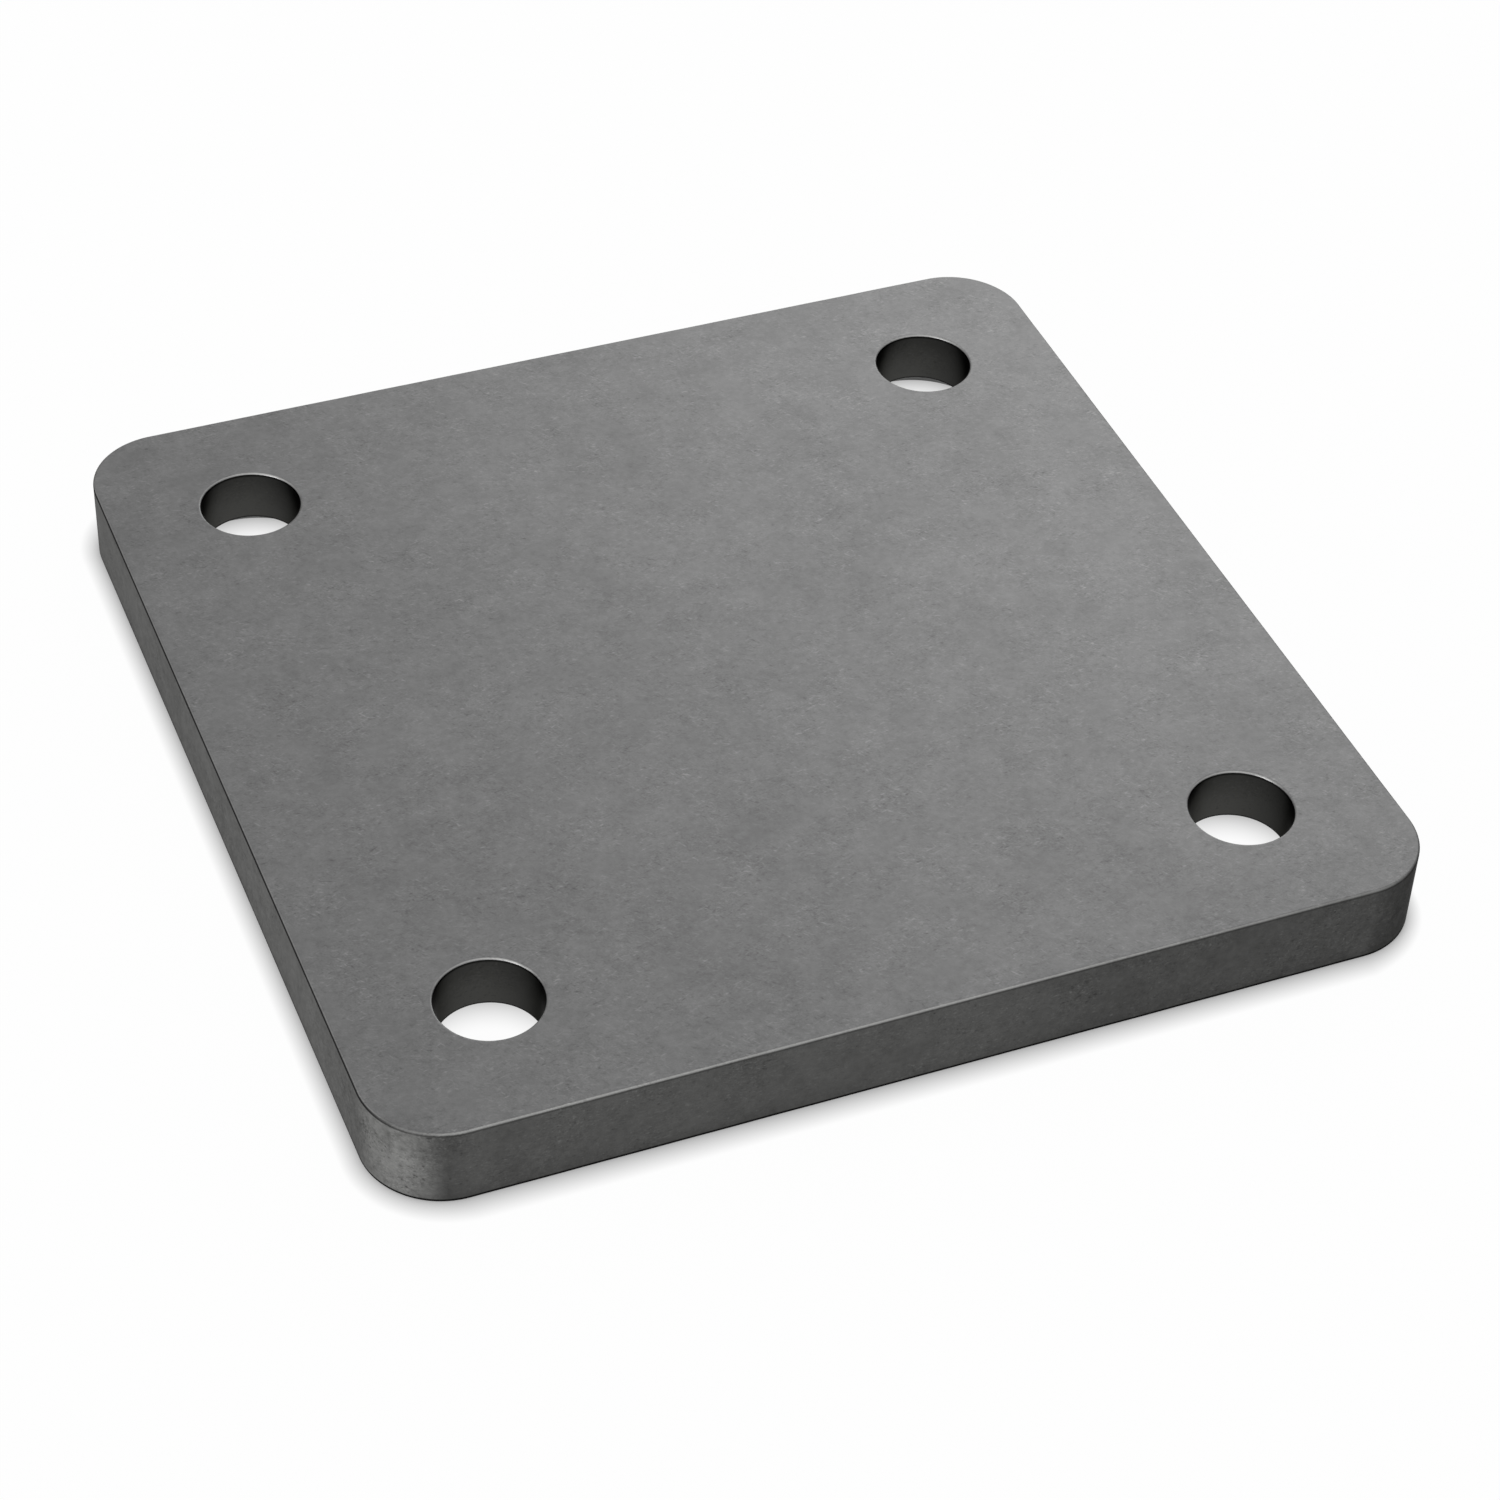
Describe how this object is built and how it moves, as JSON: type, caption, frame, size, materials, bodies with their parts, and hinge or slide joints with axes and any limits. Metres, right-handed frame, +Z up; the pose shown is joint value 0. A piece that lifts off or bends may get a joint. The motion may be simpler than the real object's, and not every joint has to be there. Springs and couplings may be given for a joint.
{
  "type": "weld-on plate",
  "caption": "Square flat steel plate with rounded corners and a countersunk bolt hole near each corner, for welding to steelwork.",
  "frame": {"origin": "centre of the underside, the face that is welded and that the plate lies on", "axes": "+Z up through the thickness, out of the upper face; +X to the right along the front edge; +Y away from the front edge"},
  "size_m": [0.1142, 0.1142, 0.0095],
  "materials": {
    "steel": "mill finish, dull grey with a fine grain"
  },
  "bodies": {
    "root": {"plate": "steel"}
  },
  "joints": []
}
